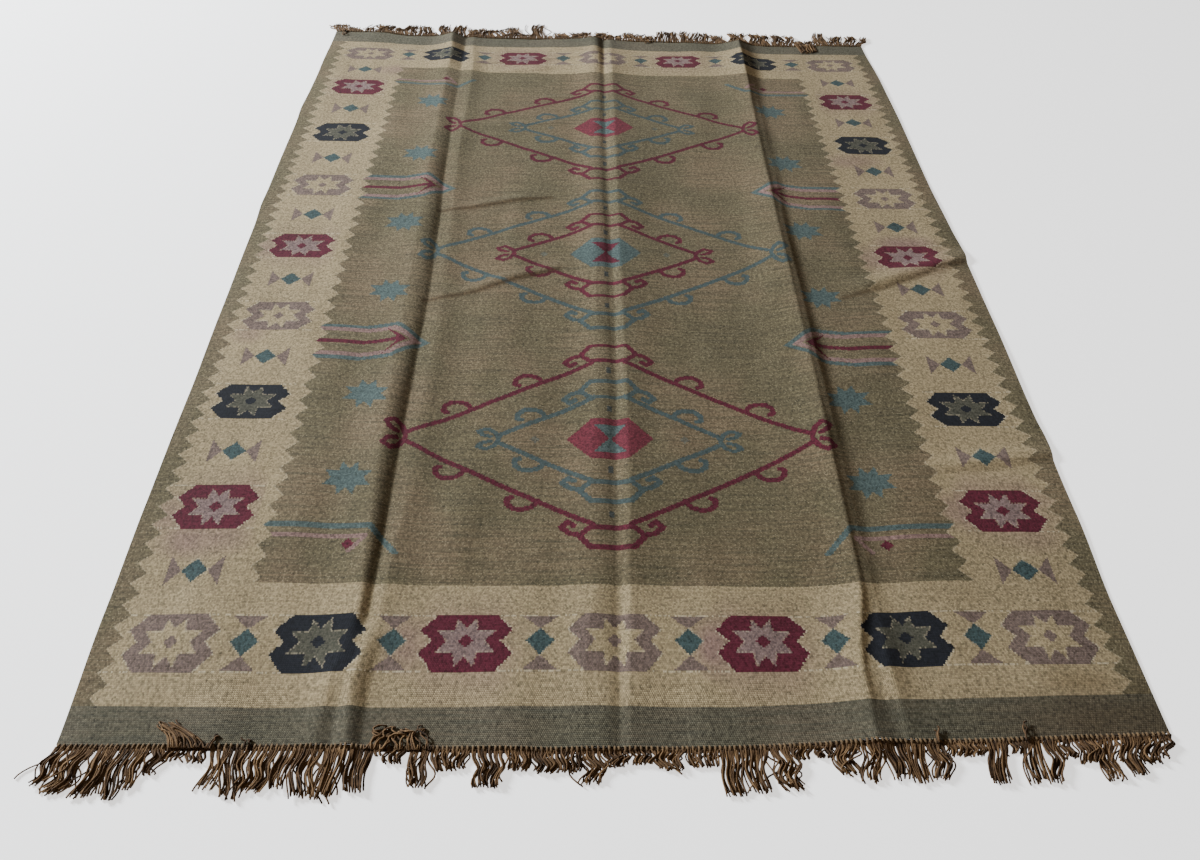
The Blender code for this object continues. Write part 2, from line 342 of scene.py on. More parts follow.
cloth = {
    "thickness": 0.0028,
    "rows": 204,
    # columns lie close together at the creases: rows of (up to this counted u, their step)
    "columns": [
        (-0.572, 0.0126), (-0.448, 0.0035), (-0.062, 0.0124), (0.048, 0.0034),
        (0.438, 0.0128), (0.572, 0.0034), (1.013, 0.0126),
    ],
    "crestRound": 0.004,
    "fadeIn": 0.45, "fadeOut": 0.35,  # of a wrinkle's length
    "longEdge": 1.0,  # a wrinkle that goes past this x doesn't fade out
    # unevenness: rows of (wave length, height)
    "waves": [(0.62, 0.0006), (0.45, 0.0006), (0.33, 0.0005), (0.24, 0.0004), (0.17, 0.0003),
              (0.12, 0.0002), (0.085, 0.00014)],
    "wavesEach": 3,
    "unevenness": (-0.0012, 0.003),  # lowest and highest
    "smoothAngle": 50,
}

# lengthwise creases: the fall of the left and of the right flank, then rows in mm of (y, crest x,
# height, run to the left, run to the right), with the bulge of the right flank unless it is 1
creases = {
    "leftOuter": (1.6, 1.0, [
        (-1460, -556, 3, 40, 24, 1.2), (-1340, -548, 5, 50, 24, 1.4),
        (-1250, -525, 4, 70, 18, 1.2), (-1180, -518, 9, 80, 16, 1.2),
        (-1080, -524, 11, 80, 24, 1.5), (-800, -533, 12, 100, 34, 1.6),
        (-450, -541, 12, 100, 45, 2.2), (-200, -545, 12, 110, 53, 2.4),
        (100, -550, 12, 110, 52, 2.2), (500, -557, 12, 110, 47, 1.8),
        (850, -560, 10.5, 100, 44, 1.2), (1100, -560, 9, 90, 45, 1.2), (1280, -559, 17, 80, 42),
        (1430, -566, 20, 80, 46),
    ]),
    "leftInner": (1.2, 1.5, [
        (-1460, -494, 7, 26, 22, 1.4), (-1400, -502, 8, 26, 28, 1.5),
        (-1330, -506, 8.5, 30, 32, 1.6), (-1270, -492, 6, 30, 30, 1.4), (-1220, -476, 2, 30, 40),
        (-1100, -470, 5, 30, 60), (-800, -450, 4.5, 50, 55), (-300, -450, 4.5, 45, 55),
        (100, -458, 4.5, 42, 50), (500, -470, 4, 38, 50), (1100, -470, 5, 45, 50),
        (1430, -486, 4, 36, 50),
    ]),
    "centreLeft": (1.6, 1.0, [
        (-1460, -78, 4.5, 60, 68, 3.0), (-1330, -70, 6, 70, 62, 3.5), (-1100, -45, 7, 80, 45, 2.0),
        (-850, -50, 8, 80, 48, 2.4), (-450, -36, 9, 80, 42, 2.6), (-200, -36, 9, 80, 43, 2.4),
        (100, -34, 8, 80, 36, 2.2), (500, -33, 8, 80, 33, 2.0), (850, -32, 7, 80, 30, 2.2),
        (1100, -33, 9, 90, 34, 2.2), (1430, -36, 14, 120, 36, 2.0),
    ]),
    "centreRight": (1.1, 1.6, [
        (-1460, 12, 4, 20, 100), (-1100, 24, 8, 26, 140), (-850, 32, 9, 36, 170),
        (-450, 34, 10, 30, 170), (100, 33, 10, 32, 170), (500, 33, 10, 34, 170),
        (850, 36, 10, 38, 150), (1100, 34, 10, 33, 130), (1430, 32, 7, 33, 100),
    ]),
    "right": (2.0, 2.0, [
        (-1460, 457, 11, 120, 60), (-1400, 458, 10, 120, 50), (-1330, 460, 10, 120, 36),
        (-1100, 494, 13, 130, 45), (-800, 497, 14, 150, 55), (-450, 502, 15, 160, 58),
        (100, 502, 16, 160, 60), (500, 506, 15, 160, 62), (850, 512, 14, 160, 65),
        (1100, 518, 18, 150, 60), (1430, 519, 23, 120, 70),
    ]),
    "rightOuter": (1.2, 1.5, [
        (-1460, 522, 3, 16, 60), (-1400, 520, 4, 22, 60), (-1330, 513, 8, 40, 45),
        (-1150, 520, 2, 14, 30), (-800, 523, 1, 12, 20), (-450, 522, 2.2, 12, 16),
        (100, 523, 2, 12, 16), (500, 535, 1, 12, 20), (1430, 545, 1, 12, 20),
    ]),
}

# slanting wrinkles: (height, half width on the far and on the near side, the points of the
# crest from left to right). A wrinkle fades in from its first point, and fades out at its last
# unless that is past the long edge.
wrinkles = [
    (0.008, 0.06, 0.024, [(0.6, -0.155), (0.72, -0.1), (0.82, -0.05), (1.03, 0.04)]),
    (0.005, 0.05, 0.02, [(0.66, -0.8), (0.8, -0.77), (1.03, -0.735)]),
    (0.003, 0.03, 0.018, [(-0.52, 1.11), (-0.3, 1.165), (-0.08, 1.215)]),
    (0.0018, 0.022, 0.022, [(-0.3, 0.93), (-0.16, 0.965), (-0.04, 0.985)]),
    (0.0018, 0.024, 0.024, [(-0.46, 0.75), (-0.28, 0.775), (-0.08, 0.79)]),
    (0.0016, 0.022, 0.022, [(-0.34, 0.348), (-0.1, 0.368)]),
    (0.005, 0.034, 0.016, [(-0.5, 0.235), (-0.4, 0.272), (-0.28, 0.308), (-0.14, 0.332)]),
    (0.005, 0.034, 0.016, [(-0.5, -0.195), (-0.38, -0.14), (-0.27, -0.082), (-0.08, 0.0)]),
    (0.0016, 0.024, 0.024, [(0.48, -0.51), (0.72, -0.445)]),
    (0.0016, 0.022, 0.022, [(0.62, 0.51), (0.72, 0.41)]),
]


def ridgeLift(x, falls, crest, height, leftRun, rightRun, rightBulge):
    # a flank hangs in by its fall, and stands out by its bulge
    isLeft = x < crest
    run = np.where(isLeft, leftRun, rightRun)
    soft = cloth["crestRound"]
    away = np.sqrt((x - crest) ** 2 + soft ** 2) - soft
    share = np.clip(1 - (away / run) ** np.where(isLeft, 1.0, rightBulge), 0, 1)
    return height * share ** np.where(isLeft, *falls)


def wrinkleLift(x, y, height, farHalf, nearHalf, points):
    sizes = [math.dist(a, b) for a, b in zip(points, points[1:])]
    nearest = np.full(x.shape, np.inf)
    place = np.zeros(x.shape)
    isNear = y < np.interp(x, *zip(*points))
    before = 0.0
    for (ax, ay), (bx, by), size in zip(points, points[1:], sizes):
        along = ((x - ax) * (bx - ax) + (y - ay) * (by - ay)) / size
        along = np.clip(along, 0, size)
        away = np.hypot(x - ax - (bx - ax) * along / size, y - ay - (by - ay) * along / size)
        closer = away < nearest
        nearest = np.where(closer, away, nearest)
        place = np.where(closer, (before + along) / sum(sizes), place)
        before += size
    fade = ease(place / cloth["fadeIn"])
    if points[-1][0] < cloth["longEdge"]:
        fade = fade * ease((1 - place) / cloth["fadeOut"])
    return height * fade * ease(1 - nearest / np.where(isNear, nearHalf, farHalf))


def wavyLift(x, y):
    # the slight unevenness of cloth that was folded for a long time
    draw = random.Random(7)
    total = np.zeros(x.shape)
    for length, height in cloth["waves"]:
        for _ in range(cloth["wavesEach"]):
            turn = draw.uniform(-0.5, 0.5)
            phase = draw.uniform(0, fullTurn)
            flow = (x * math.cos(turn) + y * math.sin(turn)) / length * fullTurn
            cross = y * draw.uniform(2.0, 5.0) + draw.uniform(0, 6)
            total += height * np.sin(flow + phase + 0.8 * np.sin(cross))
    return total


def planOf(u, v):
    # where a counted place of the pattern lies in the plan, and the y that the tables count by
    halfWidth, halfLength = pattern["halfWidth"], pattern["halfLength"]
    bandEdge = pattern["bandEdge"]
    counts = np.arange(-pattern["lastColumn"], pattern["lastColumn"] + 1) * pattern["columnStep"]
    rows = np.arange(-pattern["lastRow"], pattern["lastRow"] + 1) * pattern["rowStep"]
    last, length = counts[-1], rows[-1]
    near, middle, far = (np.interp(u, counts, places) for places in pattern["columns"])
    x = middle + np.where(v < 0, middle - near, far - middle) * v / length
    nominal = v / halfLength * outline["reach"]
    for side, place, right, half in pattern["swerves"]:
        share = np.interp(side * u, (*pattern["swerveAt"], halfWidth), (0, 1, 1, 0))
        x = x + right * share * np.exp(-((nominal - place) / half) ** 2)

    # past the last columns, out to the long edges
    past = (np.abs(u) - last) / (halfWidth - last)
    for side, column in ((-1, 1), (1, 2)):
        edge = readTable(outline["sides"], nominal, column, soft=True)
        for bulgeSide, place, out, half in outline["bulges"]:
            if bulgeSide == side:
                edge = edge + side * out * np.exp(-((nominal - place) / half) ** 2)
        x = np.where(side * u > last, x + (edge - x) * past, x)

    down = [np.interp(v, rows, places) for places in pattern["rows"]]
    bendFrom, bendRun = pattern["rowBend"]
    across = ease((np.abs(u) / last - bendFrom) / bendRun)
    y = down[1] + np.where(u < 0, down[0] - down[1], down[2] - down[1]) * across
    ends = ((-1, pattern["bandNear"], outline["near"]), (1, pattern["bandFar"], outline["far"]))
    for side, band, edge in ends:
        edgeY = readTable(edge, x)
        bandY = readTable(band, x)
        toBand = (side * v - length) / (bandEdge - length)
        toEdge = (side * v - bandEdge) / (halfLength - bandEdge)
        y = np.where(side * v > length, y + (bandY - y) * np.clip(toBand, 0, 1), y)
        y = np.where(toEdge > 0, bandY + (edgeY - bandY) * toEdge, y)
    return x, y, nominal


def liftAt(x, y, nominal):
    total = np.zeros(x.shape)
    for *falls, rows in creases.values():
        rows = [(*(size / 1000 for size in row[:5]), *row[5:], 1.0) for row in rows]
        sizes = [readTable(rows, nominal, column, soft=True) for column in (1, 2, 3, 4, 5)]
        total += ridgeLift(x, falls, *sizes)
    for wrinkle in wrinkles:
        total += wrinkleLift(x, y, *wrinkle)
    lowest, highest = cloth["unevenness"]
    return total + np.clip(wavyLift(x, y), lowest, highest) - lowest


# wool of the cloth
weave = {
    "warpPitch": 0.0033,
    "weftPitch": 0.0036,
    "streaks": (5.0, 190.0, 0.0),  # how many to a metre, across and along
    "cloudScale": 4.0,
    "grainScale": 120.0,
    # factor and offset with which a noise sets a tone
    "khakiStreak": (2.0, -0.35), "creamStreak": (1.6, 0.1),
    "warmCloud": (4.0, -1.6), "warmest": 0.6,
    "bleedCloud": (2.2, -0.1),
    "beadLight": (0.54, -0.29), "cloudLight": (0.34, -0.17),
    # the next factor paints the colour darker in the gaps between the beads: painted shade of
    # their relief
    "reliefPaintedShade": 0.34, "grainLight": 1.6,
    "fleckBead": 0.9, "fleckRelief": 0.4, "fleckStrength": 0.3,
    "slitHalf": 0.0019, "slitBead": 0.42,
    "spotSlope": 1.4,
    "roughness": (0.12, 0.84),
    "bump": 0.7, "bumpDepth": 0.001, "sheen": 0.03,
}
# colours as they look on a screen
wool = {
    "khaki": (110, 101, 76), "khakiDark": (86, 80, 62), "khakiPale": (158, 150, 126),
    "khakiWarm": (124, 104, 82), "cream": (158, 142, 110), "creamDark": (138, 122, 92),
    "red": (88, 32, 46), "lozenge": (106, 46, 56), "pink": (130, 104, 98),
    "lilac": (112, 96, 88), "taupe": (126, 106, 102), "navy": (30, 32, 38),
    "tan": (78, 77, 66), "teal": (62, 78, 78), "dustyBlue": (76, 90, 88),
    "deepBlue": (52, 62, 66), "bandBlue": (78, 80, 72), "slit": (176, 164, 138),
    # the last of these colours is painted shade, laid along the wrinkles and over the near right
    # corner
    "stain": (112, 92, 62), "paintedShade": (70, 52, 30),
}
wool = {name: linear(*colour) for name, colour in wool.items()}


class Weave:
    # what every part of the cloth shares: the counted place, its beads and its yarn's tones
    def __init__(self, start):
        halfWidth, halfLength = pattern["halfWidth"], pattern["halfLength"]
        place = start.node("ShaderNodeUVMap", {"uv_map": "pattern"})
        place = place.vector("MULTIPLY_ADD", (2 * halfWidth, 2 * halfLength, 0),
                             (-halfWidth, -halfLength, 0))
        u, v = place.parts()
        warp, weft = weave["warpPitch"], weave["weftPitch"]
        rows = v * (1 / weft)
        odd = rows.math("FLOOR").math("MODULO", 2.0).math("ABSOLUTE") * 0.5
        beads = u * (1 / warp) + odd
        self.u = (beads.math("FLOOR") + 0.5 - odd) * warp
        self.v = rows.math("FLOOR").times(weft, weft / 2)
        self.absU = abs(self.u)
        self.absV = abs(self.v)
        cell = self.u.joined(self.v)
        self.bead = start.node("ShaderNodeTexWhiteNoise", {"noise_dimensions": "2D"}, {0: cell})
        self.relief = beads.math("PINGPONG", 0.5) * rows.math("PINGPONG", 0.5) * 4.0
        self.streak = place.vector("MULTIPLY", weave["streaks"]).noise(1.0, 2.0)
        self.cloud = place.noise(weave["cloudScale"], 3.0)
        self.grain = place.noise(weave["grainScale"], 4.0, 0.8)
        # the place in the plan, in the tables' terms
        plan = start.node("ShaderNodeTexCoord", output=3)
        self.plan = plan.vector("SUBTRACT", (middleX, middleY, 0.0)).vector("MULTIPLY", (1, 1, 0))
        self.planX, self.planY = self.plan.parts()
        self.isRight = self.planX > 0.0

    def pastSaw(self, kind):
        # above 0 past a saw edge, whose teeth have their own pitch on each side
        edge = saw[kind]
        left, right = (self.planY.times(1 / pitch, -toothAt / pitch)
                       for pitch, toothAt in edge["sides"])
        tooth = (left + self.isRight * (right - left)).math("PINGPONG", 0.5) * 2.0
        return self.absU - tooth.times(edge["depth"], edge["tip"])

    def khaki(self):
        warm = self.cloud.fade(*weave["warmCloud"]) * weave["warmest"]
        colour = warm.mix(wool["khaki"], wool["khakiWarm"])
        colour = self.streak.times(*weave["khakiStreak"]).mix(wool["khakiDark"], colour)
        fleck = (self.bead > weave["fleckBead"]) & (self.relief > weave["fleckRelief"])
        return (fleck * weave["fleckStrength"]).mix(colour, wool["khakiPale"])

    def cream(self):
        return self.streak.times(*weave["creamStreak"]).mix(wool["creamDark"], wool["cream"])

    def spot(self, x, y, halfWidth, halfLength, strength):
        # a soft spot in the plan, strongest in its middle
        away = self.plan.vector("SUBTRACT", (x, y, 0.0))
        away = away.vector("MULTIPLY", (1 / halfWidth, 1 / halfLength, 0.0))
        slope = weave["spotSlope"]
        return away.vector("LENGTH", output=1).fade(-slope, slope) * strength

    def bled(self, colour):
        # where the red yarn bled into the cream
        most = reduce(Value.atLeast, [self.spot(*sizes) for sizes in bleeds])
        return (most * self.cloud.times(*weave["bleedCloud"])).mix(colour, wool["pink"])

    def slits(self, gap, colour, strength):
        # pale dots of slits where two colours meet, gap being 0 there
        isSlit = (abs(gap) < weave["slitHalf"]) & (self.bead > weave["slitBead"])
        return (isSlit * strength).mix(colour, wool["slit"])

    def shadeWrinkles(self, colour, lines):
        # painted shade along a wrinkle: rows of (strength, half width, points)
        for strength, halfWidth, points in lines:
            line = nearLine(self.plan, points).fade(-1.0 / halfWidth, 1.0)
            colour = (line * strength).mix(colour, wool["paintedShade"])
        return colour

    def finished(self, material, start, colour):
        # bead by bead, streak by streak and patch by patch lighter or darker, with painted shade
        # in the gaps between the beads
        toneAndShade = self.bead.times(*weave["beadLight"]) + self.cloud.times(*weave["cloudLight"])
        # the relief term is painted shade: darker colour in the gaps between the beads
        toneAndShade = toneAndShade + self.relief * weave["reliefPaintedShade"] + self.grain * weave["grainLight"]
        roughness = self.bead.times(*weave["roughness"])
        return finishMaterial(material, start, colour.scale(toneAndShade), roughness, self.relief, weave)


def nearLine(point, points):
    # how far a point is from a bent line
    gaps = []
    for (ax, ay), (bx, by) in zip(points, points[1:]):
        run = (bx - ax, by - ay, 0.0)
        size = run[0] ** 2 + run[1] ** 2
        away = point.vector("SUBTRACT", (ax, ay, 0.0))
        share = away.vector("DOT_PRODUCT", (run[0] / size, run[1] / size, 0.0), output=1)
        share = share.fade(1.0, 0.0)
        foot = share.node("ShaderNodeVectorMath", {"operation": "SCALE"}, {0: run, 3: share})
        gaps.append(away.vector("DISTANCE", foot, output=1))
    return reduce(Value.atMost, gaps)


# an eight-pointed star: the slopes of its arms' edges, and where they start
star = {
    "tallSlope": 1.13, "tallAt": 0.028, "slimSlope": -0.17, "slimAt": 0.0262,
    "sideSlope": 0.84, "sideAt": 0.037, "lowAt": 0.022,
}


def starDepth(a, b):
    # how deep a place lies in a star, a across and b along from its middle
    tall = a.times(star["tallSlope"], star["tallAt"]) - b
    slim = b.times(star["slimSlope"], star["slimAt"]) - a
    side = b.times(star["sideSlope"], star["sideAt"]) - a
    low = star["lowAt"] - b
    return tall.atMost(slim).atLeast(low.atMost(side))


# saw edges: pitch and y of one dark tooth down the left and the right side, then the teeth's u
saw = {
    "outer": {"sides": ((0.051, 0.034), (0.0503, 0.053)), "tip": 0.955, "depth": 0.028},
    "inner": {"sides": ((0.0548, 0.026), (0.0502, 0.06)), "tip": 0.744, "depth": -0.026},
}
# where red bled into the cream: rows of (x, y, half width, half length, strength)
bleeds = [
    (-0.87, -1.005, 0.12, 0.06, 0.75), (-0.965, -0.93, 0.05, 0.07, 0.55),
    (-0.42, -1.25, 0.05, 0.08, 0.6), (0.18, -1.26, 0.05, 0.085, 0.6),
    (0.75, -0.91, 0.06, 0.07, 0.5), (0.745, 0.03, 0.05, 0.085, 0.5),
    (0.87, 0.115, 0.11, 0.045, 0.55), (0.8, 0.565, 0.12, 0.06, 0.55),
    (-0.965, 0.05, 0.045, 0.07, 0.55), (-0.75, 1.15, 0.08, 0.05, 0.45),
    (-0.93, -0.33, 0.06, 0.05, 0.3), (0.9, -0.99, 0.09, 0.045, 0.4),
]
border = {
    # colours by code, 0 to 3 from the middle of an end and 4 to 8 from the middle of a side
    "order": ["lilac", "red", "navy", "lilac", "red", "lilac", "navy", "red", "lilac"],
    "stars": {"lilac": "cream", "red": "taupe", "navy": "tan"},
    "codeStep": 0.1,
    # the pink halo of the red octagons
    "halo": (14.0, 0.95), "haloCloud": (1.5, -0.25), "haloStrength": 0.62,
    "bandTint": 0.55,
    # the second of these spots is painted shade over the near right corner
    "stain": (0.88, -1.33, 0.1, 0.03, 0.35), "cornerShade": (0.98, -1.42, 0.42, 0.1, 0.45),
    # painted shade along the wrinkles: rows of (strength, half width, points)
    "paintedShade": [
        (0.3, 0.012, [(-0.47, 1.205), (-0.28, 1.24), (-0.08, 1.27)]),
        (0.55, 0.013, [(0.72, -0.13), (0.8, -0.083), (0.88, -0.042), (0.95, 0.0), (1.01, 0.015)]),
        (0.22, 0.014, [(0.74, -0.79), (0.88, -0.775), (1.0, -0.745)]),
    ],
    # how plainly the slits show
    "diamondSlits": 0.4, "octagonSlits": 0.75, "starSlits": 0.35, "sawSlits": 0.3,
}
octagon = {
    "flat": 0.0585, "flatHalf": 0.06,  # half height, and half width of the flat top
    "cornerV": 0.024, "cornerU": 0.091,
    "notchU": 0.068,
    "eye": 0.0146,
}
separator = {"diamond": 0.0285, "baseAt": 0.0565, "apexAt": 0.027, "halfBase": 0.035}


def borderMaterial():
    material, start = newMaterial("border wool")
    w = Weave(start)
    columnStep, rowStep = pattern["columnStep"], pattern["rowStep"]
    corner = pattern["lastRow"] * rowStep - pattern["lastColumn"] * columnStep
    isEnd = (w.absV - w.absU) > corner

    def byPart(inEnd, inSide):
        return isEnd * inEnd + (1 - isEnd) * inSide

    # octagons
    column = (w.absU * (1 / columnStep)).math("ROUND")
    row = (w.absV * (1 / rowStep)).math("ROUND")
    a = abs(w.absU - column * columnStep)
    b = abs(w.absV - row * rowStep)
    step = border["codeStep"]
    code = byPart(column, row + (pattern["lastColumn"] + 1)).times(step, step / 2)

    def byCode(colours):
        return code.ramp([(number * step, colour) for number, colour in enumerate(colours)])

    body = byCode([wool[name] for name in border["order"]])
    starTone = byCode([wool[border["stars"][name]] for name in border["order"]])
    isRed = byCode([(1, 1, 1, 1) if name == "red" else (0, 0, 0, 1) for name in border["order"]])
    slope = (octagon["cornerU"] - octagon["flatHalf"]) / (octagon["flat"] - octagon["cornerV"])
    notch = (octagon["cornerU"] - octagon["notchU"]) / octagon["cornerV"]
    shoulder = b.times(-slope, octagon["cornerU"] + slope * octagon["cornerV"]) - a
    flank = shoulder.atMost(b.times(notch, octagon["notchU"]) - a)
    inside = flank.atMost(octagon["flat"] - b)
    inStar = starDepth(a, b)
    isStar = (inStar > 0) & (1 - ((a + b) < octagon["eye"]))

    # separators between the octagons
    across = byPart(columnStep / 2 - a, rowStep / 2 - b)
    along = byPart(b, a)
    pastDiamond = across + along - separator["diamond"]
    lean = separator["halfBase"] / (separator["baseAt"] - separator["apexAt"])
    wing = (along - separator["apexAt"]) * lean - across
    isWing = (wing > 0) & (along < separator["baseAt"])

    # the cream ground with its stains
    halo = inside.fade(*border["halo"]) * isRed * w.cloud.times(*border["haloCloud"])
    colour = (halo * border["haloStrength"]).mix(w.cream(), wool["pink"])
    colour = w.spot(*border["stain"]).mix(w.bled(colour), wool["stain"])
    colour = isWing.mix(colour, wool["lilac"])
    colour = (pastDiamond < 0).mix(colour, wool["teal"])
    colour = w.slits(pastDiamond, colour, border["diamondSlits"])
    colour = (inside > 0).mix(colour, body)
    colour = isStar.mix(colour, starTone)
    colour = w.slits(flank.atLeast(b - octagon["flat"]), colour, border["octagonSlits"])
    colour = w.slits(inStar, colour, border["starSlits"])

    # the outer band
    tooth = w.pastSaw("outer")
    isEndBand = w.absV > pattern["bandEdge"]
    band = (isEndBand * border["bandTint"]).mix(w.khaki(), wool["bandBlue"])
    colour = ((tooth > 0) | isEndBand).mix(colour, band)
    colour = w.slits(tooth + isEndBand, colour, border["sawSlits"])
    # painted shade along the wrinkles
    colour = w.shadeWrinkles(colour, border["paintedShade"])
    # painted shade over the near right corner
    colour = w.spot(*border["cornerShade"]).mix(colour, wool["paintedShade"])
    return w.finished(material, start, colour)


# medallions, one in the middle and one past it at each end. Of two values the first is that of
# the inner figure and the second that of the outer one.
medallion = {
    "rowAt": 0.725,
    "outerFrom": 0.245,  # the outer figure starts past this sum of places
    "slope": 0.58,
    "line": (0.1605, 0.2878), "lineFrom": 0.036, "lineWider": 1.15,
    "apex": (0.255, 0.474), "headWider": (1.35, 1.0),
    "loop": (0.14, 0.271), "loopHigh": 0.056, "loopHalf": 0.045,
    "stroke": 0.0068,
    "hookU": (0.134, 0.145, 0.311), "hookV": (0.08, 0.198, 0.106),
    "tipFrom": 0.27,  # past it the outer hooks are those of the third value
    "lozengeHalf": 0.068, "lozengeSlope": 0.857, "lozengeTip": 0.1,
    "glassHalf": 0.045, "glassSlope": 0.8, "glassWaist": 0.002,
    "blueBead": 0.45, "blueDepth": 0.55,
    "marks": (0.1, 0.235), "markHalf": (0.006, 0.01), "markStrength": 0.8,
    "dotAt": 0.172, "dotHalf": 0.012, "dotStrength": 0.5,
}
hookLine = [(0.014, -0.004), (0.028, 0.014), (0.047, 0.02), (0.066, 0.018), (0.08, 0.005),
            (0.082, -0.012), (0.072, -0.016)]
headLine = [(0.0, 0.006), (0.01, 0.03), (0.028, 0.046), (0.048, 0.035), (0.038, 0.018),
            (0.02, 0.01)]
loopLine = [(0.045, 0.056), (0.07, 0.024), (0.045, 0.0)]
loopHook = [(0.066, 0.022), (0.09, 0.016), (0.108, -0.002), (0.094, -0.016), (0.082, -0.006)]
# arrows that come in from the sides, their heads a little higher
arrow = {
    "middle": -0.054, "rowAt": 0.364,  # v halfway between the arrows, and how far they are
    "rise": (-11.0, 6.85), "riseHigh": 0.023,
    "half": 0.06, "headSlope": 0.59, "headAt": -0.2732, "headLean": 0.807,
    "blueHalf": 0.0066, "pinkAt": 0.0145, "pinkHalf": 0.0072,
    "shaftHalf": 0.0068, "shaftFrom": 0.517,
    "point": (0.85, -0.4352), "pointLean": 0.8, "pointEnd": 0.532,
}
halfArrow = {
    "rowAt": 1.005, "high": 0.066,
    "arm": [(0.8, 0.0), (0.512, 0.0), (0.452, 0.064)], "armHalf": 0.007,
    "strip": [(0.8, 0.026), (0.517, 0.026), (0.55, 0.064)], "stripHalf": 0.005,
    "dotU": (0.555, 0.585), "dotRow": 0.046, "dotHalf": 0.0145,  # u on the left and on the right
}
sideStars = {"u": 0.586, "v": (0.87, 0.513, 0.128, -0.199, -0.6, -0.871)}
field = {
    "slits": 0.35,
    # painted shade along the wrinkles: rows of (strength, half width, points)
    "paintedShade": [
        (0.7, 0.012, [(-0.5, 0.238), (-0.4, 0.265), (-0.28, 0.302), (-0.17, 0.325)]),
        (0.7, 0.012, [(-0.5, -0.192), (-0.36, -0.145), (-0.26, -0.088), (-0.14, -0.035)]),
        (0.55, 0.013, [(0.64, -0.155), (0.76, -0.105)]),
    ],
}


def addMedallions(w, colour):
    # the outer two are red outside and blue inside, and the middle one is the other way round
    m = medallion
    a = w.absU
    isFar = w.absV > m["rowAt"] / 2
    row = abs(w.absV - isFar * m["rowAt"])
    total = a.times(m["slope"], row)
    isOuter = total > m["outerFrom"]
    line = abs(total - isOuter.pick(*m["line"]))
    apex = isOuter.pick(*m["apex"])
    isLine = (line < m["stroke"] * m["lineWider"]) & (a > m["lineFrom"]) & (a < apex)
    loopRow = row - isOuter.pick(*m["loop"])
    half = m["loopHigh"] / 2
    isBar = (abs(abs(loopRow - half) - half) < m["stroke"]) & (a < m["loopHalf"])
    isTip = isOuter & (a > m["tipFrom"])

    def hookAt(inner, outer, tip):
        return isTip.times(tip - outer, isOuter.pick(inner, outer))

    loopPoint = a.joined(loopRow)
    hookPoint = (a - hookAt(*m["hookU"])).joined(row - hookAt(*m["hookV"]))
    headPoint = (a - apex).joined(row * isOuter.pick(*m["headWider"]))
    curls = ((loopPoint, loopLine), (loopPoint, loopHook), (hookPoint, hookLine),
             (headPoint, headLine))
    curl = reduce(Value.atMost, [nearLine(point, points) for point, points in curls])
    isFigure = isLine | isBar | (curl < m["stroke"])
    inLozenge = row.times(m["lozengeSlope"], 0.0) + a < m["lozengeTip"]
    isLozenge = (row < m["lozengeHalf"]) & inLozenge
    inGlass = row.times(m["glassSlope"], m["glassWaist"]) > a
    isGlass = isLozenge & (row < m["glassHalf"]) & inGlass
    blue = ((w.bead > m["blueBead"]) * m["blueDepth"]).mix(wool["dustyBlue"], wool["deepBlue"])
    figure = abs(isOuter - isFar).mix(wool["red"], blue)
    colour = isFigure.mix(colour, figure)
    colour = isLozenge.mix(colour, isFar.mix(wool["dustyBlue"], wool["lozenge"]))
    colour = isGlass.mix(colour, isFar.mix(wool["red"], wool["dustyBlue"]))
    wide, high = m["markHalf"]
    marks = [abs(row - place) < high for place in m["marks"]]
    isMark = (a < wide) & reduce(Value.atLeast, marks)
    colour = (isMark * m["markStrength"]).mix(colour, wool["deepBlue"])
    isDot = (abs(a - m["dotAt"]) + row) < m["dotHalf"]
    return (isDot * m["dotStrength"]).mix(colour, wool["dustyBlue"])


def addArrows(w, colour):
    a = w.absU
    rise = a.fade(*arrow["rise"]) * arrow["riseHigh"]
    row = abs(abs(w.v - arrow["middle"] - rise) - arrow["rowAt"])
    head = a.times(arrow["headSlope"], arrow["headAt"]) - row * arrow["headLean"]
    into = (arrow["half"] - row).atMost(head)
    isBlue = abs(into) < arrow["blueHalf"]
    isPink = abs(into - arrow["pinkAt"]) < arrow["pinkHalf"]
    isShaft = (row < arrow["shaftHalf"]) & (a > arrow["shaftFrom"])
    isPoint = ((a.times(*arrow["point"]) > row)
               & (row.times(-arrow["pointLean"], 0.0) + a < arrow["pointEnd"]))
    colour = isPink.mix(colour, wool["pink"])
    colour = isBlue.mix(colour, wool["dustyBlue"])
    return (isShaft | isPoint).mix(colour, wool["red"])


def addHalfArrows(w, colour):
    # in the field's corners
    half = halfArrow
    row = w.absV - half["rowAt"]
    point = w.absU.joined(row)
    for name, tone in (("strip", "pink"), ("arm", "dustyBlue")):
        isLine = (nearLine(point, half[name]) < half[name + "Half"]) & (row < half["high"])
        colour = isLine.mix(colour, wool[tone])
    dotU = w.isRight.pick(*half["dotU"])
    isDot = (abs(w.absU - dotU) + abs(row - half["dotRow"])) < half["dotHalf"]
    return isDot.mix(colour, wool["red"])


def addSideStars(w, colour):
    nearest = reduce(Value.atMost, [abs(w.v - place) for place in sideStars["v"]])
    isStar = starDepth(abs(w.absU - sideStars["u"]), nearest) > 0
    return isStar.mix(colour, wool["dustyBlue"])


